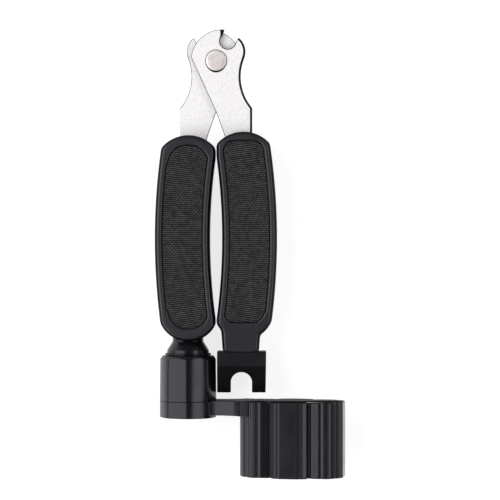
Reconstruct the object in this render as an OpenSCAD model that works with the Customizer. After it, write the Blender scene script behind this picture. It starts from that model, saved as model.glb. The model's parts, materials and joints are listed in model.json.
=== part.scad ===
// String winder: a guitar tool that winds tuning pegs, cuts strings and pulls bridge pins.
// The tool lies flat. +Y points to the cutting jaws, +X to the right and +Z up.
// Every shape is drawn from the pivot rivet's centre; on_table() then moves it, so that
// the origin is the middle of the footprint, on the surface that the tool lies on.

/* [Blades] */
// Thickness of each steel blade
blade_t = 2.2; // [1.5:0.1:3]
// Radius of the round head that carries the cutter notch
head_r = 12.1; // [11.5:0.1:13]
// Radius of the string cutter notch
notch_r = 3.05; // [2.5:0.05:3.3]
// Distance from the blade's middle line to its straight outer side
blade_side = 14.1; // [13:0.1:15]
// Length of the blade from the pivot to the end of its hidden tang
blade_reach = 74; // [60:1:80]
// Radius of the rivet's shank
rivet_r = 2.6; // [2:0.1:3]
// Radius of the rivet's head
rivet_head_r = 4.05; // [3.5:0.05:4.5]

/* [Handles] */
// Half of the width of a grip
grip_half_w = 10.65; // [9:0.05:12]
// Half of the thickness of a handle
grip_half_t = 8.5; // [7.5:0.1:9.5]
// Radius of the rounded long edges
grip_edge_r = 2.2; // [1:0.1:3]
// Radius of the bow that both grips follow
bow_r = 240; // [200:5:300]
// How far the grips bulge from the middle line
bow_side = 13.05; // [13:0.05:14]
// Distance from the pivot to the middle of the bow
bow_station = 69.3; // [65:0.1:75]
// Radius of the upper end of a grip
top_cap_r = 13.65; // [12:0.05:16]
// Radius of the lower end of a grip
low_cap_r = 11.8; // [10.8:0.05:13]
// Thickness of the plastic walls
wall = 2.2; // [1.5:0.1:3]
// Distance between the flats where the closed grips meet
stop_gap = 0.4; // [0.3:0.1:1]

/* [Grip inlays] */
// Half of the width of a rubber inlay
inlay_half_w = 7.75; // [6:0.05:8.5]
// Thickness of a rubber inlay
inlay_t = 1.8; // [1:0.1:2.5]
// How far the inlay lies below the rim around it
inlay_sink = 0.4; // [0.1:0.1:1]

/* [Barrel] */
// Distance from the middle line to the spindle's axis
spindle_side = 10.95; // [10.9:0.01:11.1]
// Distance from the eight corners of the barrel to its axis
barrel_r = 11.2; // [9.5:0.05:11.2]
// Station where the barrel starts, measured down from the pivot
barrel_top = 114.9; // [114:0.1:116]
// Station of the seam between the barrel and the crank
seam = 132.3; // [130:0.1:134]
// Radius of the steel spindle
spindle_r = 2.5; // [2:0.1:3]

/* [Crank] */
// Angle of the crank about the spindle as the tool lies, cup side up
crank_rest_angle = 9.3; // [0:0.1:15]
// Distance from the spindle's axis to the middle of the peg socket
crank_throw = 41.2; // [37:0.1:46]
// Thickness of the crank arm
arm_t = 5.7; // [4.5:0.1:7]
// Thickness of the hub that turns on the spindle
hub_t = 6.5; // [6.3:0.1:8]
// Depth of the peg socket from its closed top to its mouth
socket_h = 29.2; // [22:0.1:32]
// Thickness of the socket's closed top
socket_top_t = 3.6; // [3.2:0.1:6]

/* [Pin puller] */
// Width of the fork at its shoulder
fork_w = 18.5; // [16:0.1:18.5]
// Radius of the notch that grips a bridge pin
fork_notch_r = 4.1; // [3.5:0.05:4.5]
// Half of the thickness of the fork at its shoulder
fork_half_t = 5.6; // [4:0.1:7]
// Half of the thickness of the fork at its tips
fork_tip_half_t = 1.3; // [1:0.1:2.5]

/* [Hidden] */
$fn = 96;

// Clearances: pieces that slide on each other, and pieces that are pushed together
running_gap = 0.05;
seat_gap = 0.05;
// Overshoot that keeps a cut from ending on a face
over = 1;

// Left handle, as seen from the front: stations of its two ends, measured from the pivot
left_top = 29.2;
left_low = 97.4 + low_cap_r;
// Right handle: it starts a little nearer to the pivot
right_top = 27.8;
right_low = 96.8 + low_cap_r;
// The ends of both grips are centred nearer to the middle line than the bow's middle is
cap_side = 10.7;

// Rubber inlays: stations of their ends and the radius of their corners
left_inlay = [33.3, 104.1, 6.9];
right_inlay = [31.5, 101.6, 3.8];

// Stations of the two screws of each handle; the upper one also holds the blade's tang
left_screws = [39.5, 90.5];
right_screws = [38.5, 96.5];
screw_r = 1.45;
screw_head_r = 2.8;
screw_head_t = 1.7;
boss_r = 3.4;

// Heights inside a handle
pocket_floor = grip_half_t - inlay_sink - inlay_t;
hollow_top = pocket_floor - 1.8;

// Tail of the right handle: half widths at its ends, and the stations where it starts,
// where its faces begin to slope and where it meets the fork
tail_axis = 9.65;
tail_half_w = [7.95, 7.05];
tail_half_t = 6.4;
tail_top = 100;
tail_slope = 104;
tail_low = 113.1;
fork_axis = 9.85;
fork_flat = 118.8;
fork_low = 129.2;
fork_tongue = [9.4, 3.6, 22];

// Neck collar: radii and stations of the waist, the cone and the thin flange
neck_r = 6;
waist_at = 109.2;
cone_r = 8.2;
cone_at = 112.7;
flange_r = 9;
flange_at = [113.9, 114.55];
collar_top = 95;
spigot_r = 7.4;

// Hub of the crank
hub_r = 11.2;
bush_r = 4;
bush_t = 3.3;
washer_t = 0.8;
washer_r = 5;
recess_r = 5.6;
hub_top = seam + running_gap;
// The arm and the socket stand this far above the hub's top, outside the barrel
arm_rise = 0.4;

// Half of the socket's outline in one quarter: [along the arm, across it]
socket_quarter = [[20, 4], [18.3, 6.5], [17.7, 6.3], [17.3, 7.2], [15.2, 9.4], [12.4, 9.4],
                  [8.1, 9.1], [7.6, 8.6], [7, 10.3], [4.3, 12]];
cavity_quarter = [[17.9, 3.2], [16.2, 5.2], [14.6, 7.1], [6.4, 6.9], [5.6, 7.6], [3.8, 9.9]];

// Box of the whole tool around the pivot, which puts the origin in the middle below it
far_left = -(bow_side + grip_half_w);
far_right = -spindle_side + (crank_throw + socket_quarter[0][0]) * cos(crank_rest_angle)
            + socket_quarter[0][1] * sin(crank_rest_angle);
far_up = head_r;
far_down = hub_top - arm_rise + socket_h;
table_shift = [-(far_left + far_right) / 2, (far_down - far_up) / 2, barrel_r];

// ---- Helpers ----

module on_table() {
    translate(table_shift) children();
}

// Runs the children's Z axis down the tool, from a station on the spindle's axis
module down_spindle(station) {
    translate([-spindle_side, -station, 0]) rotate([90, 0, 0]) children();
}

// Crank pieces share the spindle's axis and the angle at which the crank rests
module on_crank() {
    translate([-spindle_side, -hub_top, 0]) rotate([0, -crank_rest_angle, 0])
        rotate([90, 0, 0]) children();
}

function arc(centre, r, from, to, steps) =
    [for (i = [0:steps]) let (a = from + (to - from) * i / steps)
        centre + r * [cos(a), sin(a)]];

// Mirrors the points of one quarter into a closed outline
function four_quarters(q) =
    let (last = len(q) - 1)
    concat(q,
           [for (i = [last:-1:0]) [-q[i][0], q[i][1]]],
           [for (p = q) -p],
           [for (i = [last:-1:0]) [q[i][0], -q[i][1]]]);

// Rectangle with four round corners, made of plain shapes so that its arcs stay true
module round_rect(half_w, half_h, r) {
    square([2 * (half_w - r), 2 * half_h], center = true);
    square([2 * half_w, 2 * (half_h - r)], center = true);
    for (x = [-1, 1], y = [-1, 1])
        translate([x * (half_w - r), y * (half_h - r)]) circle(r);
}

module keep_right() {
    intersection() {
        children();
        translate([0, -50]) square([400, 100]);
    }
}

// Band that follows the bow of the right grip, with rounded long edges
module bowed_bar(half_w, half_t, edge_r) {
    translate([bow_side - bow_r, -bow_station, 0])
        rotate([0, 0, -15]) rotate_extrude(angle = 30, $fn = 720)
            translate([bow_r, 0]) round_rect(half_w, half_t, edge_r);
}

module round_end(r, half_t, edge_r) {
    rotate_extrude() keep_right() round_rect(r, half_t, edge_r);
}

// Grip of the right handle between two stations, shrunk by an inset on every side
module grip_body(top, low, inset, edge_r) {
    half_t = grip_half_t - inset;
    intersection() {
        bowed_bar(grip_half_w - inset, half_t, edge_r);
        union() {
            translate([cap_side, -(top + top_cap_r), 0])
                round_end(top_cap_r - inset, half_t, edge_r);
            translate([cap_side, -(low - low_cap_r), 0])
                round_end(low_cap_r - inset, half_t, edge_r);
            translate([cap_side - 20, -(low - low_cap_r), -half_t])
                cube([40, low - low_cap_r - top - top_cap_r, 2 * half_t]);
        }
        translate([stop_gap / 2 + inset, -200, -half_t]) cube([60, 200, 2 * half_t]);
    }
}

// Outline of an inlay of the right grip, given by [upper end, lower end, corner radius],
// or of the pocket around it, which is a gap larger
module inlay_outline(ends, gap = 0) {
    half_w = inlay_half_w + gap;
    top = ends[0] - gap;
    low = ends[1] + gap;
    r = ends[2] + gap;
    intersection() {
        translate([bow_side - bow_r, -bow_station]) difference() {
            circle(bow_r + half_w, $fn = 720);
            circle(bow_r - half_w, $fn = 720);
        }
        union() {
            for (x = [-1, 1], y = [-(top + r), -(low - r)])
                translate([cap_side + x * (half_w - r), y]) circle(r);
            translate([cap_side - half_w + r, -low]) square([2 * (half_w - r), low - top]);
            translate([cap_side - 20, -(low - r)]) square([40, low - top - 2 * r]);
        }
    }
}

module inlay_pocket(ends) {
    translate([0, 0, pocket_floor]) linear_extrude(grip_half_t)
        inlay_outline(ends, seat_gap);
}

module front_half() {
    intersection() {
        children();
        translate([-100, -200, 0]) cube([200, 200, 50]);
    }
}

module screw_posts(stations) {
    for (s = stations)
        translate([cap_side, -s, 0]) cylinder(r = boss_r, h = hollow_top + over);
}

// Front half of a handle, before its own end is shaped
module shell_half(top, low, ends, screws) {
    difference() {
        front_half() grip_body(top, low, 0, grip_edge_r);
        inlay_pocket(ends);
        difference() {
            intersection() {
                grip_body(top, low, wall, 1);
                translate([-100, -(low - low_cap_r - 3), -over])
                    cube([200, 100, hollow_top + over]);
            }
            screw_posts(screws);
        }
    }
}

// Holes for the two screws: driven in from the back, so the rear half has the wide seats
module screw_holes(screws, rear) {
    for (s = screws) translate([cap_side, -s, -over]) {
        cylinder(r = screw_r + seat_gap, h = (rear ? pocket_floor : hollow_top) + 2 * over);
        if (rear) translate([0, 0, pocket_floor - screw_head_t - 0.2 + over])
            cylinder(r = screw_head_r + 0.2, h = screw_head_t + over);
    }
}

module shell_screws(screws) {
    for (s = screws) translate([cap_side, -s, 0]) {
        translate([0, 0, -pocket_floor + 0.2]) difference() {
            cylinder(r = screw_head_r, h = screw_head_t);
            for (turn = [0, 90]) rotate([0, 0, turn])
                translate([-1.5, -0.35, -over]) cube([3, 0.7, over + 0.9]);
        }
        translate([0, 0, -pocket_floor + screw_head_t])
            cylinder(r = screw_r, h = pocket_floor - screw_head_t + hollow_top - 0.3);
    }
}

// ---- Blades: the right handle's blade is drawn, and the left one is its mirror image ----

function blade_points() =
    let (head_at = [2.3, 0], notch_at = [4.56, 7.6], lobe_at = [4.45, 3.5], lobe_r = 7,
         waist_centre = [28.5, -6.2], waist_r = 18.9)
    concat([[6.2, -blade_reach], [6.2, -40], [3.35, -29.3], [0.08, -20.2]],
           arc(head_at, head_r, 174, 85, 20),
           [[2.4, 9.5]],
           arc(notch_at, notch_r, 142, 345, 24),
           [[8.7, 8.9]],
           arc(lobe_at, lobe_r, 47, -22, 12),
           arc(waist_centre, waist_r, 160, 220.3, 14),
           [[blade_side, -blade_reach + 3], [blade_side - 3, -blade_reach]]);

module blade_plate() {
    linear_extrude(blade_t) polygon(blade_points());
}

module blade(screw_station) {
    difference() {
        translate([0, 0, running_gap]) blade_plate();
        translate([0, 0, -over]) cylinder(r = rivet_r + running_gap, h = blade_t + 2 * over);
        translate([cap_side, -screw_station, -over])
            cylinder(r = screw_r + seat_gap, h = blade_t + 2 * over);
    }
}

module front_blade() {
    color("gainsboro") on_table() difference() {
        blade(right_screws[0]);
        translate([0, 0, blade_t + running_gap - 0.5])
            cylinder(r = rivet_head_r + 0.2, h = over);
    }
}

module rear_blade() {
    color("silver") on_table() rotate([0, 180, 0]) blade(left_screws[0]);
}

module pivot_rivet() {
    shank = blade_t + running_gap;
    color("lightgray") on_table() {
        translate([0, 0, -shank - 0.3]) cylinder(r = rivet_r, h = 2 * shank + 0.3);
        translate([0, 0, shank - 0.45]) cylinder(r = rivet_head_r, h = 1.1);
        translate([0, 0, -shank - 1.1]) cylinder(r = rivet_head_r, h = 1.1);
    }
}

// ---- Right handle ----

// Front half of the tail below the right grip, which clamps the fork. It narrows a little
// and gets thinner from the grip's thickness to the fork's.
module tail_half() {
    plan = [for (side = [-1, 1], end = side < 0 ? [0, 1] : [1, 0])
        [tail_axis + side * tail_half_w[end], end == 0 ? -tail_top : -tail_low]];
    side_view = [[-tail_top, 0], [-tail_top, grip_half_t], [-tail_slope, grip_half_t],
                 [-tail_low, tail_half_t], [-tail_low, 0]];
    intersection() {
        linear_extrude(grip_half_t) polygon(plan);
        translate([tail_axis - 20, 0, 0]) rotate([90, 0, 90])
            linear_extrude(40) polygon(side_view);
    }
}

module fork_tongue_shape(gap) {
    translate([fork_axis, -tail_low - 2 + fork_tongue[2] / 2, 0])
        cube([fork_tongue[0], fork_tongue[2], fork_tongue[1]] + 2 * gap * [1, 1, 1],
             center = true);
}

module right_half(rear) {
    difference() {
        union() {
            shell_half(right_top, right_low, right_inlay, right_screws);
            difference() {
                tail_half();
                inlay_pocket(right_inlay);
            }
        }
        fork_tongue_shape(seat_gap);
        screw_holes(right_screws, rear);
        if (!rear) translate([0, 0, -over]) linear_extrude(blade_t + running_gap + over)
            polygon(blade_points());
    }
}

module right_front_shell() {
    color("dimgray") on_table() right_half(false);
}

module right_rear_shell() {
    color("dimgray") on_table() mirror([0, 0, 1]) right_half(true);
}

module grip_inlay(ends) {
    translate([0, 0, pocket_floor]) linear_extrude(inlay_t) inlay_outline(ends);
}

module right_front_inlay() {
    color("darkslategray") on_table() grip_inlay(right_inlay);
}

module right_rear_inlay() {
    color("darkslategray") on_table() mirror([0, 0, 1]) grip_inlay(right_inlay);
}

module right_shell_screws() {
    color("slategray") on_table() shell_screws(right_screws);
}

// Fork with a wedge-shaped side view, a round notch and a tongue that the shells clamp
module pin_puller() {
    side_view = [[-tail_low, fork_half_t], [-fork_flat, fork_half_t],
                 [-fork_low, fork_tip_half_t], [-fork_low, -fork_tip_half_t],
                 [-fork_flat, -fork_half_t], [-tail_low, -fork_half_t]];
    notch_station = 125.2;
    color("black") on_table() difference() {
        union() {
            translate([fork_axis - fork_w / 2, 0, 0]) rotate([90, 0, 90])
                linear_extrude(fork_w) polygon(side_view);
            fork_tongue_shape(0);
        }
        translate([fork_axis, -notch_station, -20]) {
            cylinder(r = fork_notch_r, h = 40);
            translate([-fork_notch_r, -20, 0]) cube([2 * fork_notch_r, 20, 40]);
        }
        translate([cap_side, -right_screws[1], -20]) cylinder(r = screw_r + seat_gap, h = 40);
    }
}

// ---- Left handle, drawn as the mirror image of the right one ----

// Turned shape of the collar, with a gap added all round where it is used as a cut
module collar_shape(gap) {
    down_spindle(collar_top - gap) cylinder(r = neck_r + gap, h = 3 + 2 * gap);
    down_spindle(collar_top) cylinder(r = neck_r - 1.6 + gap, h = 12);
    down_spindle(collar_top + 11) cylinder(r = neck_r + gap, h = waist_at - collar_top - 11);
}

module left_half(rear) {
    difference() {
        mirror([1, 0, 0]) shell_half(left_top, left_low, left_inlay, left_screws);
        collar_shape(seat_gap);
        down_spindle(waist_at) cylinder(r = neck_r + seat_gap, h = 20);
        mirror([1, 0, 0]) screw_holes(left_screws, rear);
        if (rear) mirror([1, 0, 0]) translate([0, 0, -over])
            linear_extrude(blade_t + running_gap + over) polygon(blade_points());
    }
}

module left_front_shell() {
    color("dimgray") on_table() left_half(false);
}

module left_rear_shell() {
    color("dimgray") on_table() mirror([0, 0, 1]) left_half(true);
}

module left_front_inlay() {
    color("darkslategray") on_table() mirror([1, 0, 0]) grip_inlay(left_inlay);
}

module left_rear_inlay() {
    color("darkslategray") on_table() mirror([1, 0, 0]) mirror([0, 0, 1])
        grip_inlay(left_inlay);
}

module left_shell_screws() {
    color("slategray") on_table() mirror([1, 0, 0]) shell_screws(left_screws);
}

// Neck between the left grip and the barrel: waist, cone, thin flange and spigot
module neck_collar() {
    outline = [[0, waist_at], [neck_r, waist_at], [cone_r, cone_at], [cone_r, flange_at[0]],
               [flange_r, flange_at[0]], [flange_r, flange_at[1]], [spigot_r, flange_at[1]],
               [spigot_r, flange_at[1] + 6], [0, flange_at[1] + 6]];
    color("black") on_table() difference() {
        union() {
            collar_shape(0);
            down_spindle(0) rotate_extrude() polygon(outline);
        }
        down_spindle(collar_top - over) cylinder(r = spindle_r + 0.02, h = 40);
    }
}

// Eight-sided barrel, one corner up, hollow for the collar's spigot
module octagon_barrel() {
    floor_t = 3;
    length = seam - barrel_top;
    color("black") on_table() down_spindle(barrel_top) difference() {
        intersection() {
            cylinder(r = barrel_r, h = length, $fn = 8);
            union() {
                cylinder(r1 = barrel_r - 1.6, r2 = barrel_r, h = 1.6);
                translate([0, 0, 1.6]) cylinder(r = barrel_r + over, h = length);
            }
        }
        translate([0, 0, -over]) cylinder(r = spigot_r + seat_gap, h = length - floor_t + over);
        cylinder(r = spindle_r + seat_gap, h = length + over);
    }
}

// Steel spindle: held in the collar, it carries the crank, and its end is tapped
module crank_spindle() {
    tapped = 9;
    length = hub_top + bush_t + 0.1 - collar_top;
    color("silver") on_table() down_spindle(collar_top) difference() {
        cylinder(r = spindle_r, h = length);
        translate([0, 0, length - tapped]) cylinder(r = screw_r + seat_gap, h = tapped + over);
    }
}

module crank_washer() {
    color("lightgray") on_table() down_spindle(hub_top + bush_t + 0.1) difference() {
        cylinder(r = washer_r, h = washer_t);
        translate([0, 0, -over]) cylinder(r = screw_r + 0.15, h = washer_t + 2 * over);
    }
}

module crank_screw() {
    head_at = hub_top + bush_t + 0.1 + washer_t;
    shank = 8;
    color("silver") on_table() {
        down_spindle(head_at - shank) cylinder(r = screw_r, h = shank);
        down_spindle(head_at) difference() {
            cylinder(r = screw_head_r, h = screw_head_t);
            for (turn = [0, 90]) rotate([0, 0, turn])
                translate([-1.6, -0.35, screw_head_t - 0.9]) cube([3.2, 0.7, over + 0.9]);
        }
    }
}

// ---- Crank ----

module socket_outline() {
    polygon(four_quarters(socket_quarter));
}

// Tongue of the arm that is pushed into the socket's closed top
module arm_tongue(gap) {
    tongue = [9, 8, 1.6];
    translate([crank_throw - socket_quarter[0][0] - over, -tongue[1] / 2 - gap,
               1 - arm_rise - gap])
        cube([tongue[0] + over, tongue[1] + 2 * gap, tongue[2] + 2 * gap]);
}

// Hub and arm in one moulding, with a waist between the hub and the socket
module crank_arm() {
    waist = [11.5, 5.7, 17.2];
    arm_half_w = 9;
    color("black") on_table() on_crank() {
        difference() {
            union() {
                rotate(-crank_rest_angle) cylinder(r = hub_r, h = hub_t, $fn = 8);
                difference() {
                    translate([6, -arm_half_w, -arm_rise])
                        cube([crank_throw - 22, 2 * arm_half_w, arm_t]);
                    for (side = [-1, 1])
                        translate([waist[0], side * (waist[1] + waist[2]), -over])
                            cylinder(r = waist[2], h = arm_t + 2 * over);
                    translate([crank_throw, 0, -over]) linear_extrude(arm_t + 2 * over)
                        socket_outline();
                    translate([0, 0, -over]) cylinder(r = barrel_r + 0.4, h = over);
                }
            }
            translate([0, 0, -over]) cylinder(r = bush_r, h = hub_t + 2 * over);
            translate([0, 0, bush_t]) cylinder(r = recess_r, h = hub_t);
        }
        arm_tongue(0);
    }
}

module crank_bush() {
    color("goldenrod") on_table() on_crank() difference() {
        cylinder(r = bush_r, h = bush_t);
        translate([0, 0, -over]) cylinder(r = spindle_r + running_gap, h = bush_t + 2 * over);
    }
}

// Fluted cup that fits over a tuning peg's button
module peg_socket() {
    color("black") on_table() on_crank() difference() {
        translate([crank_throw, 0, -arm_rise]) linear_extrude(socket_h) socket_outline();
        translate([crank_throw, 0, socket_top_t - arm_rise]) linear_extrude(socket_h)
            polygon(four_quarters(cavity_quarter));
        arm_tongue(seat_gap);
    }
}

rear_blade();
pivot_rivet();
left_front_shell();
left_rear_shell();
left_front_inlay();
left_rear_inlay();
left_shell_screws();
neck_collar();
octagon_barrel();
crank_spindle();
crank_washer();
crank_screw();
front_blade();
right_front_shell();
right_rear_shell();
right_front_inlay();
right_rear_inlay();
right_shell_screws();
pin_puller();
crank_arm();
crank_bush();
peg_socket();
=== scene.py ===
import json
import math

import bmesh
import bpy
import numpy as np
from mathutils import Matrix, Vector


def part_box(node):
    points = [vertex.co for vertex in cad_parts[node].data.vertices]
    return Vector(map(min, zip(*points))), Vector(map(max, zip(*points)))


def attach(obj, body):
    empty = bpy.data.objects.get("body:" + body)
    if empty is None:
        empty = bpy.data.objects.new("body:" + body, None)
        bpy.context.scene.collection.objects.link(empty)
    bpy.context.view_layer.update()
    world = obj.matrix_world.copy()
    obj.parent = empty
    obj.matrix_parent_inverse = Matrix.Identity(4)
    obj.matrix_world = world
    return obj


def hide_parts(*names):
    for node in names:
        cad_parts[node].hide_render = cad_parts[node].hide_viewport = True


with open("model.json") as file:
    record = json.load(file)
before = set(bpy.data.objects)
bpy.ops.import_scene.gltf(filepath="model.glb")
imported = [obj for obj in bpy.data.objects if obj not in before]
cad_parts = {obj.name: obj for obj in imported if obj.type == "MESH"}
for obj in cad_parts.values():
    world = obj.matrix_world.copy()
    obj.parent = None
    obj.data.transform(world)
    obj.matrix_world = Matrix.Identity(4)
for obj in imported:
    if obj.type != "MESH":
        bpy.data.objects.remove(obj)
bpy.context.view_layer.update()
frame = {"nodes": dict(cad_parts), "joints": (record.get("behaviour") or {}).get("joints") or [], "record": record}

MM = 0.001
NODES = frame["nodes"]
JOINTS = {j["name"]: j for j in frame["joints"]}
PIVOT = Vector(JOINTS["handle_pivot"]["pos_m"])
HUB = Vector(JOINTS["crank_spin"]["pos_m"])
BODY_OF = {n: b for b, ns in frame["record"]["behaviour"]["bodies"].items() for n in ns}
SLOT_OF = {s["node"]: s["material_slot"] for s in frame["record"]["subparts"]}

# Two vertices nearer than this are one: in a CAD mesh, and in a mesh built here
CAD_JOIN = 2e-6
OWN_JOIN = 1e-6


# ---------------------------------------------------------------- materials

def node_material(name, base, roughness, metallic=0.0, specular=0.5, tint=(1, 1, 1)):
    """A Principled material, its node tree and its shader."""
    mat = bpy.data.materials.new(name)
    mat.use_nodes = True
    shader = mat.node_tree.nodes["Principled BSDF"]
    shader.inputs["Base Color"].default_value = (*base, 1)
    shader.inputs["Roughness"].default_value = roughness
    shader.inputs["Metallic"].default_value = metallic
    shader.inputs["Specular IOR Level"].default_value = specular
    shader.inputs["Specular Tint"].default_value = (*tint, 1)
    return mat, mat.node_tree, shader


def noise(tree, scale, detail=3.0, stretch=(1, 1, 1), roughness=0.5):
    """Noise on the object's own coordinates, in features per metre along each axis."""
    coords = tree.nodes.new("ShaderNodeTexCoord")
    mapping = tree.nodes.new("ShaderNodeMapping")
    mapping.inputs["Scale"].default_value = stretch
    texture = tree.nodes.new("ShaderNodeTexNoise")
    texture.inputs["Scale"].default_value = scale
    texture.inputs["Detail"].default_value = detail
    texture.inputs["Roughness"].default_value = roughness
    tree.links.new(coords.outputs["Object"], mapping.inputs["Vector"])
    tree.links.new(mapping.outputs["Vector"], texture.inputs["Vector"])
    return texture.outputs["Fac"]


def ramp(tree, value, stops):
    """Colour ramp over stops of (position, colour or grey)."""
    node = tree.nodes.new("ShaderNodeValToRGB")
    while len(node.color_ramp.elements) < len(stops):
        node.color_ramp.elements.new(0.5)
    for element, (at, colour) in zip(node.color_ramp.elements, stops):
        element.position = at
        grey = not isinstance(colour, tuple)
        element.color = (colour, colour, colour, 1) if grey else (*colour, 1)
    tree.links.new(value, node.inputs["Fac"])
    return node.outputs["Color"]


def bump(tree, shader, height, distance, strength=1.0):
    """Fine relief, its height in metres."""
    node = tree.nodes.new("ShaderNodeBump")
    node.inputs["Distance"].default_value = distance
    node.inputs["Strength"].default_value = strength
    tree.links.new(height, node.inputs["Height"])
    tree.links.new(node.outputs["Normal"], shader.inputs["Normal"])


def moulded_plastic(name, dark, light, rough_low, rough_high, grain, specular=0.5):
    """Black moulded plastic: faint flow marks in its colour, uneven gloss and a fine skin."""
    mat, tree, shader = node_material(name, light, rough_low, specular=specular,
                                      tint=(0.93, 0.91, 1))
    flow = noise(tree, 60, detail=4, stretch=(1, 0.4, 1))
    colour = ramp(tree, flow, [(0.3, dark), (0.7, light)])
    tree.links.new(colour, shader.inputs["Base Color"])
    gloss = noise(tree, 220, detail=5)
    tree.links.new(ramp(tree, gloss, [(0.3, rough_low), (0.7, rough_high)]),
                   shader.inputs["Roughness"])
    bump(tree, shader, noise(tree, 2600, detail=2), grain)
    return mat


def satin_steel(name, dark, light, rough_low, rough_high, along, metallic=0.85, mottle=260):
    """Stamped steel after tumbling: mottled colour, and fine marks along one axis."""
    mat, tree, shader = node_material(name, light, rough_low, metallic=metallic)
    spots = noise(tree, mottle, detail=6, roughness=0.65)
    tree.links.new(ramp(tree, spots, [(0.3, dark), (0.54, light)]),
                   shader.inputs["Base Color"])
    marks = noise(tree, 900, detail=4, stretch=along)
    tree.links.new(ramp(tree, marks, [(0.3, rough_low), (0.7, rough_high)]),
                   shader.inputs["Roughness"])
    bump(tree, shader, marks, 0.00001, strength=0.4)
    return mat


def rubber(name):
    """Dull rubber: its raised dashes are scuffed and dusty, and the hollows between are painted black as shade."""
    mat, tree, shader = node_material(name, (0.02, 0.02, 0.021), 0.7, specular=0.15)
    hollow_shade_mask = tree.nodes.new("ShaderNodeAttribute")
    hollow_shade_mask.attribute_name = "raised"
    dust = noise(tree, 700, detail=5)
    scuffs = ramp(tree, dust, [(0.32, (0.045, 0.045, 0.046)), (0.7, (0.13, 0.13, 0.132))])
    colour = tree.nodes.new("ShaderNodeMix")
    colour.data_type = "RGBA"
    tree.links.new(hollow_shade_mask.outputs["Fac"], colour.inputs["Factor"])
    # Painted shade: the hollows between the dashes are near black
    colour.inputs["A"].default_value = (0.002, 0.002, 0.002, 1)
    tree.links.new(scuffs, colour.inputs["B"])
    tree.links.new(colour.outputs["Result"], shader.inputs["Base Color"])
    tree.links.new(ramp(tree, dust, [(0.3, 0.6), (0.7, 0.8)]), shader.inputs["Roughness"])
    bump(tree, shader, noise(tree, 4000, detail=2), 0.00002)
    return mat


MATERIALS = {
    "blade_steel": satin_steel("blade_steel", (0.85, 0.78, 0.8), (1.0, 0.99, 0.995),
                               0.55, 0.65, (1, 0.15, 1), metallic=0.5, mottle=1500),
    "rivet_steel": satin_steel("rivet_steel", (0.76, 0.69, 0.67), (0.92, 0.86, 0.84),
                               0.45, 0.6, (1, 1, 1)),
    "handle_plastic": moulded_plastic("handle_plastic", (0.008, 0.0075, 0.0095),
                                      (0.013, 0.0125, 0.015), 0.42, 0.52, 0.000012),
    "winder_plastic": moulded_plastic("winder_plastic", (0.003, 0.0028, 0.0042),
                                      (0.0065, 0.006, 0.008), 0.16, 0.24, 0.000006,
                                      specular=0.36),
    "inlay_rubber": rubber("inlay_rubber"),
    "screw_steel": satin_steel("screw_steel", (0.5, 0.5, 0.51), (0.7, 0.7, 0.71),
                               0.3, 0.42, (1, 1, 1)),
    "bush_brass": satin_steel("bush_brass", (0.55, 0.38, 0.13), (0.72, 0.52, 0.22),
                              0.3, 0.4, (1, 0.2, 1)),
}
# Materials of single faces, beside the one that a piece's slot names
# Painted shade: near-black steel for the blades' roundings, the front hook's tip and the rivet's seats
STEEL_EDGE_SHADE = satin_steel("steel_edge_painted_shade", (0.004, 0.004, 0.004), (0.014, 0.014, 0.014),
                           0.35, 0.5, (1, 1, 1))
SHEARED_SIDE = satin_steel("sheared_side", (0.3, 0.29, 0.29), (0.5, 0.49, 0.48),
                           0.35, 0.5, (1, 1, 0.2))
# Painted shade: a darker, almost unreflecting copy of the winder plastic
PAINTED_SHADE_PLASTIC = moulded_plastic("painted_shade_plastic", (0.003, 0.003, 0.004), (0.006, 0.006, 0.007),
                               0.5, 0.6, 0.000006, specular=0.08)
# Painted shade: near-black, almost unreflecting grip plastic for the outer rounding and the pocket's walls
GRIP_SIDE_SHADE = moulded_plastic("grip_side_painted_shade", (0.002, 0.002, 0.003), (0.005, 0.005, 0.006),
                            0.5, 0.6, 0.000012, specular=0.06)
PULLER_PLASTIC = moulded_plastic("puller_plastic", (0.003, 0.0028, 0.004),
                                 (0.006, 0.0056, 0.0075), 0.3, 0.36, 0.000006, specular=0.45)
# Glossier than the grip plastic, and lighter as a painted highlight
GLOSSY_RIM_HIGHLIGHT = moulded_plastic("glossy_rim_painted_highlight", (0.01, 0.0095, 0.012), (0.016, 0.015, 0.019),
                               0.28, 0.36, 0.000004, specular=0.5)


# ---------------------------------------------------------------- mesh helpers

def finish_piece(mesh, node, smooth_angle, extra=()):
    """Links a mesh that stands for a CAD node, with that node's body, slot and materials. Edges
    sharper than smooth_angle, in degrees, stay sharp."""
    piece = bpy.data.objects.new(node + "_body", mesh)
    bpy.context.scene.collection.objects.link(piece)
    for mat in (MATERIALS[SLOT_OF[node]], *extra):
        mesh.materials.append(mat)
    mesh.shade_smooth()
    if smooth_angle < 180:
        mesh.set_sharp_from_angle(angle=math.radians(smooth_angle))
    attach(piece, BODY_OF[node])
    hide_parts(node)
    return piece


def apply_modifiers(piece):
    """Puts the modifiers' result in place of the piece's mesh."""
    bpy.context.view_layer.update()
    shaped = piece.evaluated_get(bpy.context.evaluated_depsgraph_get())
    old = piece.data
    piece.data = bpy.data.meshes.new_from_object(shaped)
    piece.modifiers.clear()
    bpy.data.meshes.remove(old)


def flat_faces(piece):
    """Large faces keep their own normals, and the roundings between them stay smooth."""
    weigh = piece.modifiers.new("normals", "WEIGHTED_NORMAL")
    weigh.mode = "FACE_AREA"
    weigh.weight = 100
    weigh.keep_sharp = True


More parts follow.
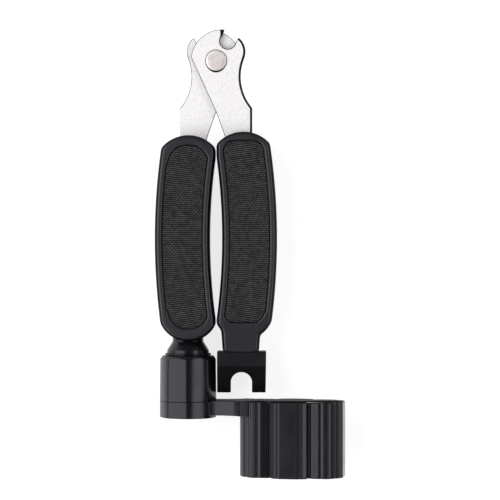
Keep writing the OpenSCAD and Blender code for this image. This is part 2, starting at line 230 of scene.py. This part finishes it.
def clean_copy(node, weight, shape):
    """The CAD node's surface with its triangles joined, and a bevel weight on each sharp edge."""
    flat, sharp = math.radians(1), math.radians(28)
    bm = bmesh.new()
    bm.from_mesh(NODES[node].data)
    bmesh.ops.remove_doubles(bm, verts=bm.verts, dist=CAD_JOIN)
    bmesh.ops.dissolve_limit(bm, angle_limit=flat, verts=bm.verts, edges=bm.edges)
    if shape:
        shape(bm)
    bm.normal_update()
    layer = bm.edges.layers.float.new("bevel_weight_edge")
    for edge in bm.edges:
        if len(edge.link_faces) == 2 and edge.calc_face_angle() > sharp:
            edge[layer] = weight(edge) if weight else 1.0
    mesh = bpy.data.meshes.new(node + "_shape")
    bm.to_mesh(mesh)
    bm.free()
    return mesh


def rounded_copy(node, radius, extra, paint, shape=None, weight=None, edge_slot=-1):
    """A CAD node's shape with its sharp edges rounded by a radius in mm. shape may change the
    shape first, weight narrows the rounding of an edge, and paint picks a face's material."""
    piece = finish_piece(clean_copy(node, weight, shape), node, 180, extra)
    bevel = piece.modifiers.new("edges", "BEVEL")
    bevel.width = radius * MM
    bevel.segments = 3
    bevel.limit_method = "WEIGHT"
    bevel.use_clamp_overlap = False
    bevel.material = edge_slot
    flat_faces(piece)
    apply_modifiers(piece)
    for face in piece.data.polygons:
        if face.material_index == 0:
            face.material_index = paint(face)
    return piece


def from_pivot(point):
    """A point in millimetres from the middle of the pivot rivet."""
    return (Vector(point) - PIVOT) / MM


def cut(bm, at, normal):
    """Divides every face that crosses a plane through a point in millimetres from the pivot."""
    bmesh.ops.bisect_plane(bm, geom=bm.verts[:] + bm.edges[:] + bm.faces[:],
                           plane_co=PIVOT + Vector(at) * MM, plane_no=normal)


def anticlockwise(loop):
    """The same loop, turned round if it runs clockwise."""
    x, y = loop.T
    area = (x * np.roll(y, -1) - y * np.roll(x, -1)).sum()
    return loop if area > 0 else loop[::-1]


def sections(node, at, axis=2):
    """The loops of a node's cross-section, cut at a place along one axis, longest first. Each
    runs anticlockwise, as points on the other two axes."""
    normal = Vector([float(k == axis) for k in range(3)])
    kept = [k for k in range(3) if k != axis]
    bm = bmesh.new()
    bm.from_mesh(NODES[node].data)
    bmesh.ops.remove_doubles(bm, verts=bm.verts, dist=CAD_JOIN)
    bmesh.ops.bisect_plane(bm, geom=bm.verts[:] + bm.edges[:] + bm.faces[:],
                           plane_co=PIVOT + normal * at * MM, plane_no=normal,
                           clear_inner=True, clear_outer=True)
    loops, seen = [], set()
    for start in bm.verts:
        if start in seen or len(start.link_edges) != 2:
            continue
        loop, edge, vert = [], start.link_edges[0], start
        while vert not in seen:
            seen.add(vert)
            loop.append([from_pivot(vert.co)[k] for k in kept])
            edge = next((e for e in vert.link_edges if e is not edge), edge)
            vert = edge.other_vert(vert)
        loops.append(np.array(loop))
    bm.free()
    loops.sort(key=lambda p: -np.linalg.norm(p - np.roll(p, 1, 0), axis=1).sum())
    return [anticlockwise(loop) for loop in loops]


def resample(loop, step, soften=0.0):
    """Evenly spaced points along a closed loop, its corners softened by a Gaussian of a width."""
    closed = np.vstack([loop, loop[:1]])
    along = np.concatenate([[0], np.linalg.norm(np.diff(closed, axis=0), axis=1).cumsum()])
    count = int(round(along[-1] / step))
    places = np.arange(count) * along[-1] / count
    points = np.column_stack([np.interp(places, along, closed[:, k]) for k in (0, 1)])
    if soften:
        reach = int(4 * soften / step)
        shifts = np.arange(-reach, reach + 1)
        weights = np.exp(-0.5 * (shifts * step / soften) ** 2)
        points = sum(w * np.roll(points, k, 0) for k, w in zip(shifts, weights)) / weights.sum()
    return points


def inset(points, distance):
    """Moves an anticlockwise loop inwards, or outwards by a negative distance."""
    along = np.roll(points, -1, 0) - np.roll(points, 1, 0)
    along /= np.linalg.norm(along, axis=1)[:, None]
    return points + distance * np.column_stack([-along[:, 1], along[:, 0]])


def add_ring(bm, points, at, axis=2):
    """Vertices of one loop, at one place along an axis or at a place for each point."""
    places = np.insert(points, axis, at, axis=1)
    return [bm.verts.new(PIVOT + Vector(place) * MM) for place in places]


def join_rings(bm, low, high, slot=0):
    """A band of faces between two rings with the same number of vertices."""
    for k in range(len(low)):
        n = (k + 1) % len(low)
        bm.faces.new((low[k], low[n], high[n], high[k])).material_index = slot


def ring_edges(bm, ring):
    """The edges round a ring, found or made."""
    return [bm.edges.get((ring[k], ring[k - 1])) or bm.edges.new((ring[k], ring[k - 1]))
            for k in range(len(ring))]


def fill(bm, *rings):
    """Fills the area inside one ring, or between two."""
    edges = [e for ring in rings for e in ring_edges(bm, ring)]
    return bmesh.ops.triangle_fill(bm, use_beauty=True, edges=edges)


def to_mesh(bm, name):
    """Turns the faces outwards and hands the shape over as a mesh."""
    bmesh.ops.recalc_face_normals(bm, faces=bm.faces)
    mesh = bpy.data.meshes.new(name)
    bm.to_mesh(mesh)
    bm.free()
    return mesh


# ---------------------------------------------------------------- grips

# Heights of the flat border and of the rubber's dashes, and how far the rounding of the sides
# reaches in and down
GRIP_TOP = 8.5
INLAY_TOP = 8.1
SIDE_ROUND = (1.5, 3.0)

# Heights at which the outlines of the CAD's shells and inlays are taken, and how far the corners
# of an inlay and of the pocket round it are softened
SHELL_CUT = 6.15
INLAY_CUT = 7.0
POCKET_SOFT = 0.35

# Where the right grip's tail starts to slope down and where it ends at the fork, as (distance
# below the pivot, height of its flat face), and how near its end a point counts as being on it
TAIL = ((100.0, 8.5), (113.1, 6.4))
TAIL_END = 0.6


def tail_height(y):
    """Height of the grip's flat face: it slopes down along the tail."""
    (top, high), (end, low) = TAIL
    share = np.clip((-y - top) / (end - top), 0, 1)
    return high + (low - high) * share


def shell(node, inlay, side):
    """Half of a grip: rounded sides, a flat border and the pocket around its inlay."""
    step, outer_soft = 0.4, 0.7
    outer = resample(sections(node, side * SHELL_CUT)[0], step, outer_soft)
    pocket = resample(sections(inlay, side * INLAY_CUT)[0], step, POCKET_SOFT)
    bm = bmesh.new()

    # The sides from the parting plane up, as (distance in, height, slot of the band above). Slot 1,
    # on the outer rounding, is a near-black copy of the plastic: painted shade
    wide, deep = SIDE_ROUND
    profile = [(0.35, 0.02, 0), (0.1, 0.12, 0), (0, 0.35, 0), (0, 2.5, 0)]
    # Slot 2, along the top of the rounding, is the lighter, glossier plastic: painted highlight
    profile += [(wide * (1 - math.cos(math.radians(t))),
                 GRIP_TOP - deep * (1 - math.sin(math.radians(t))), 1 if t < 60 else 2)
                for t in (0, 14, 28, 42, 55, 67, 78, 90)]
    # The tail's end, which meets the fork, is hardly rounded
    share = 1 - 0.93 * (outer[:, 1] < -TAIL[1][0] + TAIL_END)
    rings = [add_ring(bm, inset(outer, (d * share)[:, None]), z) for d, z, _ in profile]
    for low, high, (_, _, slot) in zip(rings, rings[1:], profile):
        join_rings(bm, low, high, slot)

    # The pocket from the border down to its floor, as (distance in, height)
    rim = [(-0.75, GRIP_TOP), (-0.5, GRIP_TOP - 0.09), (-0.3, GRIP_TOP - 0.22),
           (-0.14, GRIP_TOP - 0.42), (-0.06, GRIP_TOP - 0.7), (-0.05, GRIP_TOP - 1.4)]
    rims = [add_ring(bm, inset(pocket, d), z) for d, z in rim]
    # The rim's bands (slot 2) get a painted highlight and the wall below them (slot 1) painted shade
    for low, high, slot in zip(rims, rims[1:], (0, 2, 2, 2, 1)):
        join_rings(bm, low, high, slot)

    fill(bm, rings[-1], rims[0])
    fill(bm, rims[-1])
    fill(bm, rings[0])
    if node.startswith("right"):
        for past in (0, 3, 6):
            cut(bm, (0, -TAIL[0][0] - past, 0), (0, 1, 0))
        for vert in bm.verts:
            _, y, z = from_pivot(vert.co)
            vert.co.z = PIVOT.z + z * tail_height(y) / GRIP_TOP * MM
    if side < 0:
        for vert in bm.verts:
            vert.co.z = 2 * PIVOT.z - vert.co.z
    piece = finish_piece(to_mesh(bm, node), node, 180, (GRIP_SIDE_SHADE, GLOSSY_RIM_HIGHLIGHT))
    flat_faces(piece)
    apply_modifiers(piece)


# The grips' bow: how far out its middle line reaches, its radius, and how far below the pivot
# its middle is
BOW_MIDDLE, BOW_R, BOW_STATION = 13.05, 240.0, 69.3

# Dashes: distance from row to row and from dash to dash, the mesh cells in each, how far they
# reach along and across the bow from its middle, and their half width and half length as shares
# of those distances
ROW, DASH = 0.78, 1.3
ROW_CELLS, DASH_CELLS = 4, 6
HALF_FIELD = (38.2, 8.6)
DASH_SHARE = (0.27, 0.47)

# Depth of the hollows and of the inlay's edge below the dashes, and height of the inlay's foot
HOLLOW = 0.2
EDGE_DROP = 0.3
FOOT = 6.4


def contains(loop, points):
    """Which points lie inside a closed loop, by counting crossings."""
    inside = np.zeros(len(points), bool)
    x, y = points.T
    for (x0, y0), (x1, y1) in zip(loop, np.roll(loop, -1, 0)):
        if y0 != y1:
            crossing = (y0 > y) != (y1 > y)
            inside ^= crossing & (x < x0 + (y - y0) * (x1 - x0) / (y1 - y0))
    return inside


def dash_pattern(hand):
    """A grid of points over one bow, and how far each is raised: 0 in a hollow, 1 on a dash."""
    half_long, half_wide = HALF_FIELD
    rows = np.arange(-half_long, half_long, ROW / ROW_CELLS)
    columns = np.arange(-half_wide, half_wide, DASH / DASH_CELLS)
    s, w = np.meshgrid(rows, columns, indexing="ij")
    angle = s / BOW_R
    x = hand * (BOW_MIDDLE - BOW_R + (BOW_R + w) * np.cos(angle))
    y = -BOW_STATION + (BOW_R + w) * np.sin(angle)
    row = np.floor(s / ROW + 1e-6)
    across = s / ROW - row - 0.5
    along = w / DASH + 0.5 * (row % 2)
    along = along - np.floor(along + 1e-6) - 0.5
    half_width, half_length = DASH_SHARE
    dash = np.clip(1.25 - (across / half_width) ** 2 - (along / half_length) ** 4, 0, 1)
    return x, y, dash


def cells_inside(inside):
    """Cells of a grid with at least one corner inside, and all the corners of those cells."""
    cells = inside[:-1, :-1] | inside[1:, :-1] | inside[:-1, 1:] | inside[1:, 1:]
    corners = np.zeros(inside.shape, bool)
    rows, columns = cells.shape
    for i in (0, 1):
        for j in (0, 1):
            corners[i:rows + i, j:columns + j] |= cells
    return cells, corners.ravel()


def inlay_sheet(node, side):
    """Rubber inlay: rows of short raised dashes, staggered from row to row, across the bow."""
    step, gap_to_shell = 0.15, 0.12
    edge = inset(resample(sections(node, side * INLAY_CUT)[0], step, POCKET_SOFT), gap_to_shell)
    x, y, dash = dash_pattern(-1 if node.startswith("left") else 1)
    points = np.column_stack([x.ravel(), y.ravel()])
    heights = (INLAY_TOP - HOLLOW + HOLLOW * dash).ravel()
    inside = contains(edge, points)
    cells, used = cells_inside(inside.reshape(dash.shape))

    # Corners outside the outline move to it and down
    for k in np.flatnonzero(used & ~inside):
        gap = ((edge - points[k]) ** 2).sum(1)
        points[k] = edge[gap.argmin()]
        heights[k] = INLAY_TOP - EDGE_DROP

    bm = bmesh.new()
    raised = bm.verts.layers.float.new("raised")
    verts = {}
    for k in np.flatnonzero(used):
        verts[k] = bm.verts.new(PIVOT + Vector((*points[k], side * heights[k])) * MM)
        # The raised share also picks the rubber's painted shade in the hollows
        verts[k][raised] = dash.flat[k] if inside[k] else 0.0
    width = dash.shape[1]
    for i, j in zip(*np.nonzero(cells)):
        low, high = i * width + j, (i + 1) * width + j
        bm.faces.new([verts[c] for c in (low, low + 1, high + 1, high)])

    # The skirt is built edge by edge, because Blender's extrude orders it anew in each run
    rim = [e for e in bm.edges if e.is_boundary]
    foot = {}
    for vert in (v for edge in rim for v in edge.verts):
        if vert not in foot:
            foot[vert] = bm.verts.new((vert.co.x, vert.co.y, PIVOT.z + side * FOOT * MM))
    for a, b in (edge.verts for edge in rim):
        bm.faces.new((a, b, foot[b], foot[a]))
    bmesh.ops.remove_doubles(bm, verts=bm.verts, dist=OWN_JOIN)
    finish_piece(to_mesh(bm, node), node, 60)


for hand in ("left", "right"):
    for face, side in (("front", 1), ("rear", -1)):
        shell(f"{hand}_{face}_shell", f"{hand}_{face}_inlay", side)
        inlay_sheet(f"{hand}_{face}_inlay", side)


# ---------------------------------------------------------------- blades and rivet

# Middle and reach of the front blade's notch, the rivet hole's surroundings, where both blades
# go into the grips, and the height that only the front blade's outer face is above
NOTCH = (4.56, 7.6)
NOTCH_REACH = 3.4
RIVET_SEAT = 4.6
TANG = -36
OUTER = 1.5
BLADE_ROUND = 0.9


def blade_edges(edge):
    """Share of the full rounding, which carries the near-black painted shade: most along the front blade's
    right contour and at the hook's tip, none under the rivet and inside the grips."""
    x, y, z = from_pivot((edge.verts[0].co + edge.verts[1].co) / 2)
    if math.hypot(x, y) < RIVET_SEAT or y <= TANG:
        return 0.0
    if z > OUTER and math.hypot(x - NOTCH[0], y - NOTCH[1]) < NOTCH_REACH:
        hook_tip = y > 8.8 and x < NOTCH[0]
        return 0.8 if hook_tip else 0.4
    wall = min(edge.link_faces, key=lambda f: abs(f.normal.z))
    right_contour = wall.normal.x > 0.25 and x > 3 and y < 10.5
    return 1.0 if z > OUTER and right_contour else 0.25


def blade_paint(face):
    """Sheared steel on the walls, and near-black painted shade on the front hook's tip."""
    x, y, z = from_pivot(face.center)
    # Painted shade on the flat top of the hook's tip
    if face.normal.z > 0.9 and z > OUTER and 1.4 < x < 4 and y > 8.5:
        return 1
    return 2 if abs(face.normal.z) < 0.5 else 0


def marked_hook(bm):
    """Marks off the front hook's tip, which gets painted shade, and ends the long edges inside the grip."""
    cut(bm, (0, TANG, 0), (0, 1, 0))
    cut(bm, (1.75, 9.8, 0), (1, 0.12, 0))


def hidden_hook(bm):
    """Keeps the rear blade's hook behind the front blade's head, a little inside its outline."""
    behind, blade_middle = 0.12, 1.15
    cut(bm, (0, TANG, 0), (0, 1, 0))
    head = sections("front_blade", blade_middle)[0]
    head = head[head[:, 1] > 5]
    bearing = np.arctan2(head[:, 1], head[:, 0])
    order = bearing.argsort()
    reach = np.linalg.norm(head, axis=1)[order]
    for vert in bm.verts:
        x, y, z = from_pivot(vert.co)
        if -6 < x < 0 and y > 8:
            limit = np.interp(math.atan2(y, x), bearing[order], reach) - behind
            share = min(1, limit / math.hypot(x, y))
            vert.co = PIVOT + Vector((x * share, y * share, z)) * MM


# The blades' roundings get the near-black steel as painted shade, widest along the front blade's right contour
for node, shape in (("front_blade", marked_hook), ("rear_blade", hidden_hook)):
    rounded_copy(node, BLADE_ROUND, (STEEL_EDGE_SHADE, SHEARED_SIDE), blade_paint, shape,
                 blade_edges, edge_slot=1)


def turned(bm, profile, steps=96):
    """Rings about the pivot's axis through (radius, z) points."""
    angles = np.arange(steps) * 2 * math.pi / steps
    unit = np.column_stack([np.cos(angles), np.sin(angles)])
    rings = [add_ring(bm, unit * r, z) for r, z in profile]
    for low, high in zip(rings, rings[1:]):
        join_rings(bm, low, high)
    return rings


def rivet():
    """Two peened heads, each in a thin seat ring painted near black as shade, and the shank between them."""
    seat_top, seat_r = 2.36, 4.27
    front_top, rear_top = 2.9, 3.35
    bm = bmesh.new()
    front = [(2.6, 0.0), (2.6, 2.26), (seat_r, 2.26), (seat_r, 2.31), (4.05, 2.33),
             (4.01, 2.38), (4.0, 2.62), (3.93, 2.76), (3.8, 2.84), (3.2, 2.88),
             (2.0, front_top), (0.8, front_top)]
    rear = [(r, -z * rear_top / front_top if z > 2.4 else -z) for r, z in front]
    for profile in (front, rear):
        fill(bm, turned(bm, profile)[-1])
    bmesh.ops.remove_doubles(bm, verts=bm.verts, dist=OWN_JOIN)
    piece = finish_piece(to_mesh(bm, "pivot_rivet"), "pivot_rivet", 40, (STEEL_EDGE_SHADE,))
    # Painted shade: the seat rings, and the hidden shank, get the near-black steel
    for face in piece.data.polygons:
        if abs(from_pivot(face.center).z) < seat_top:
            face.material_index = 1

    # The seat ring is wider below the head than above it: painted shadow under the head
    for vert in piece.data.vertices:
        x, y, z = from_pivot(vert.co)
        if math.hypot(x, y) > 4.2:
            grow = 0.09 * max(0, -y / seat_r) ** 3
            vert.co += Vector((x, y, 0)) * grow * MM


rivet()


# ---------------------------------------------------------------- winder and pin puller

def painted_shade_top(face):
    """Faces turned towards the grips get a darker, almost unreflecting copy of the plastic: painted shade."""
    return 1 if face.normal.y > 0.6 else 0


def fork_sides(bm):
    """Widens the fork by 0.2 mm a side, and its right side more towards the handle."""
    widening, draft_height = 0.2, 16
    lo, hi = (from_pivot(c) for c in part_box("pin_puller"))
    middle, half = (lo.x + hi.x) / 2, (hi.x - lo.x) / 2
    for vert in bm.verts:
        x, y, _ = from_pivot(vert.co)
        if abs(abs(x - middle) - half) < 0.05:
            up = (y - lo.y) / draft_height
            grow = widening + (widening * up if x > middle else 0.0)
            vert.co.x += math.copysign(grow, x - middle) * MM


# The fork's and the collar's faces towards the grips get painted shade
for node, radius, shape in (("pin_puller", 0.35, fork_sides), ("neck_collar", 0.25, None)):
    piece = rounded_copy(node, radius, (PAINTED_SHADE_PLASTIC,), painted_shade_top, shape)
    if node == "pin_puller":
        # The fork is glossier than the grips; its faces sloping away from the handle get painted shade
        piece.data.materials[0] = PULLER_PLASTIC
        for face in piece.data.polygons:
            if face.normal.y < -0.2 and abs(face.normal.z) > 0.5:
                face.material_index = 1


# How far the middle of an octagon's side bulges, and how far its corners are softened
CROWN = 0.35
CORNER_SOFT = 0.8


def octagon(corner):
    """Octagon with slightly crowned sides and rounded corners, as (x, z) points."""
    flat = corner * math.cos(math.pi / 8)
    angles = np.arange(720) * math.pi / 360
    turn = (angles % (math.pi / 4)) - math.pi / 8
    radius = flat / np.cos(turn) + CROWN * (1 - (turn / (math.pi / 8)) ** 2)
    return resample(np.column_stack([radius * np.cos(angles), radius * np.sin(angles)]),
                    0.3, CORNER_SOFT)


def barrel():
    """Eight-sided barrel: each face ends in an arc at the top, where a cone cuts the corners."""
    cone_slope = 1.7
    taper = 0.982
    top_round, low_round = 0.12, 0.06
    node = "octagon_barrel"
    lo, hi = (from_pivot(c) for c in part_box(node))
    middle = np.array([(lo.x + hi.x) / 2, 0])
    top, low = -hi.y, -lo.y
    outline = octagon((hi.x - lo.x) / 2)
    radius = np.linalg.norm(outline, axis=1)
    tip = radius.min() - 0.3
    drop = np.maximum(radius - tip, 0) * cone_slope
    bm = bmesh.new()

    def ring(scale, station):
        """The outline at a scale, at a distance below the pivot, both single or per point."""
        return add_ring(bm, middle + outline * np.broadcast_to(scale, radius.shape)[:, None],
                        -np.broadcast_to(station, radius.shape), 1)

    # The end towards the collar, the eight faces between their arcs and the low end, and that end
    rings = [ring((tip * taper - back) / radius, top + down)
             for back, down in ((3.5, 0.05), (0.5, 0), (0.12, 0.02), (0, top_round))]
    for share in (0, 0.03, 0.3, 0.65, 0.985):
        start = top + top_round + drop
        rings.append(ring(taper + (1 - taper) * share,
                          start + (low - low_round - start) * share))
    rings += [ring(0.992, low - 0.04), ring(0.97, low), ring(0.6, low)]
    for first, second in zip(rings, rings[1:]):
        join_rings(bm, first, second)
    fill(bm, rings[0])
    fill(bm, rings[-1])
    piece = finish_piece(to_mesh(bm, node), node, 25, (PAINTED_SHADE_PLASTIC,))
    # Painted shade on the barrel's end towards the collar
    for face in piece.data.polygons:
        if face.normal.y > 0.9:
            face.material_index = 1


def crowned_hub(bm):
    """Gives the hub's eight sides the barrel's crowned faces and rounded corners."""
    cuts, on_side = 48, 0.06
    hub = (HUB - PIVOT) / MM
    lo, hi = (from_pivot(c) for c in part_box("octagon_barrel"))
    corner = (hi.x - lo.x) / 2
    flat = corner * math.cos(math.pi / 8)
    for k in range(cuts):
        angle = (k + 0.5) * math.pi / cuts
        cut(bm, hub, (-math.sin(angle), 0, math.cos(angle)))
    outline = octagon(corner)
    bearing = np.arctan2(outline[:, 1], outline[:, 0])
    order = bearing.argsort()
    radius = np.linalg.norm(outline, axis=1)
    for vert in bm.verts:
        x, y, z = from_pivot(vert.co)
        x -= hub.x
        angle, r = math.atan2(z, x), math.hypot(x, z)
        turn = (angle % (math.pi / 4)) - math.pi / 8
        if abs(r - flat / math.cos(turn)) < on_side:
            new = np.interp(angle, bearing[order], radius[order], period=2 * math.pi)
            vert.co = PIVOT + Vector((hub.x + x * new / r, y, z * new / r)) * MM


# Angle of the crank at rest, and the fine grooves in the socket's two long sides, as (distance
# from its middle, depth), with their width
CRANK_TILT = math.radians(9.3)
FLUTES = ((4.6, 0.5), (7.7, 0.25), (12.1, 0.3), (15.3, 0.3))
FLUTE_WIDTH = 0.42


def socket():
    """Fluted cup: closed at the arm's end, open towards the peg, with softened edges."""
    step, outer_soft, cavity_soft = 0.22, 0.22, 0.3
    node = "peg_socket"
    lo, hi = (from_pivot(c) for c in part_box(node))
    top, low = -hi.y, -lo.y
    below_middle = -(top + low) / 2 - 5
    outline, inside = sections(node, below_middle, 1)[:2]
    outer = resample(outline, step, outer_soft)
    cavity = resample(inside, step, cavity_soft)

    # The grooves, in the two long sides only
    local = outer - (np.array([(lo.x + hi.x) / 2, (lo.z + hi.z) / 2]))
    along = np.abs(local @ [math.cos(CRANK_TILT), math.sin(CRANK_TILT)])
    depth = sum(d * np.exp(-((along - u) / FLUTE_WIDTH) ** 2) for u, d in FLUTES)
    depth *= np.abs(local @ [-math.sin(CRANK_TILT), math.cos(CRANK_TILT)]) > 1.5
    outer = inset(outer, depth[:, None])

    # The outside from the closed end, as (distance in, distance from that end), then its lip,
    # and the inside from the lip, as (distance in, distance below the pivot)
    bm = bmesh.new()
    profile = [(0.7, 0.0), (0.4, 0.03), (0.15, 0.16), (0.03, 0.4), (0, 0.8), (0, 12), (0, 24)]
    rings = [add_ring(bm, inset(outer, d), -(top + t), 1) for d, t in profile]
    for d, t in ((0, 0.6), (0.06, 0.25), (0.22, 0.06), (0.45, 0.0)):
        rings.append(add_ring(bm, inset(outer, d), -(low - t), 1))
    walls = [add_ring(bm, inset(cavity, d), -t, 1)
             for d, t in ((-0.25, low), (-0.06, low - 0.1), (0, low - 0.35), (0, top + 4.2),
                          (0.5, top + 3.6))]
    for loops in (rings, walls):
        for first, second in zip(loops, loops[1:]):
            join_rings(bm, first, second)
    fill(bm, rings[-1], walls[0])
    fill(bm, rings[0])
    fill(bm, walls[-1])
    piece = finish_piece(to_mesh(bm, node), node, 180, (PAINTED_SHADE_PLASTIC,))
    flat_faces(piece)
    apply_modifiers(piece)
    # Painted shade on the cup's faces towards the grips
    for face in piece.data.polygons:
        face.material_index = painted_shade_top(face)


barrel()
# The arm's and hub's faces towards the grips get painted shade
rounded_copy("crank_arm", 0.3, (PAINTED_SHADE_PLASTIC,), painted_shade_top, crowned_hub)
socket()


# ---------------------------------------------------------------- CAD pieces shown as they are

for node, thing in NODES.items():
    if not thing.hide_render:
        thing.data.materials.clear()
        thing.data.materials.append(MATERIALS[SLOT_OF[node]])


# ---------------------------------------------------------------- stage, light and camera

def floor():
    """A white ground that glows enough to stay white in the photo's light."""
    size = 1.5
    glow = 0.8
    mesh = bpy.data.meshes.new("floor")
    mesh.from_pydata([(-size, -size, 0), (size, -size, 0), (size, size, 0), (-size, size, 0)],
                     [], [(0, 1, 2, 3)])
    piece = bpy.data.objects.new("floor", mesh)
    bpy.context.scene.collection.objects.link(piece)
    mat, _, shader = node_material("floor", (0.4, 0.4, 0.4), 0.9, specular=0.1)
    shader.inputs["Emission Color"].default_value = (1, 1, 1, 1)
    shader.inputs["Emission Strength"].default_value = glow
    mesh.materials.append(mat)


def area_light(name, at, width, height, power):
    """A softbox turned to the tool, with its sizes in metres and its power in watts."""
    target = Vector((0, 0, 0))
    data = bpy.data.lights.new(name, "AREA")
    data.shape = "RECTANGLE"
    data.size = width
    data.size_y = height
    data.energy = power
    lamp = bpy.data.objects.new(name, data)
    lamp.location = at
    lamp.rotation_euler = (target - Vector(at)).to_track_quat("-Z", "Y").to_euler()
    bpy.context.scene.collection.objects.link(lamp)


def studio():
    """Two tall softboxes, the left one brighter, in a dim room: faces turned up stay dark."""
    scene = bpy.context.scene
    scene.view_settings.view_transform = "Standard"
    world = bpy.data.worlds.new("studio")
    scene.world = world
    world.use_nodes = True
    tree = world.node_tree
    direction = tree.nodes.new("ShaderNodeTexCoord")
    height = tree.nodes.new("ShaderNodeSeparateXYZ")
    tree.links.new(direction.outputs["Generated"], height.inputs["Vector"])
    walls = ramp(tree, height.outputs["Z"], [(0.0, 0.8), (0.14, 0.7), (0.4, 0.15)])
    tree.links.new(walls, tree.nodes["Background"].inputs["Color"])
    area_light("left_softbox", (-0.585, 0, 0.565), width=1.3, height=0.84, power=8.4)
    area_light("right_softbox", (0.54, 0, 0.6), width=1.2, height=0.3, power=3.0)


def camera():
    """Straight down, 0.8 m above the blades, framed as the tool is seen."""
    distance = 0.8
    frame_width = 0.195
    sensor = 36
    data = bpy.data.cameras.new("camera")
    data.sensor_width = sensor
    data.lens = sensor * distance / frame_width
    data.clip_start = 0.01
    view = bpy.data.objects.new("camera", data)
    view.location = PIVOT + Vector((0.0132, -0.0737, distance))
    bpy.context.scene.collection.objects.link(view)
    bpy.context.scene.camera = view


floor()
studio()
camera()
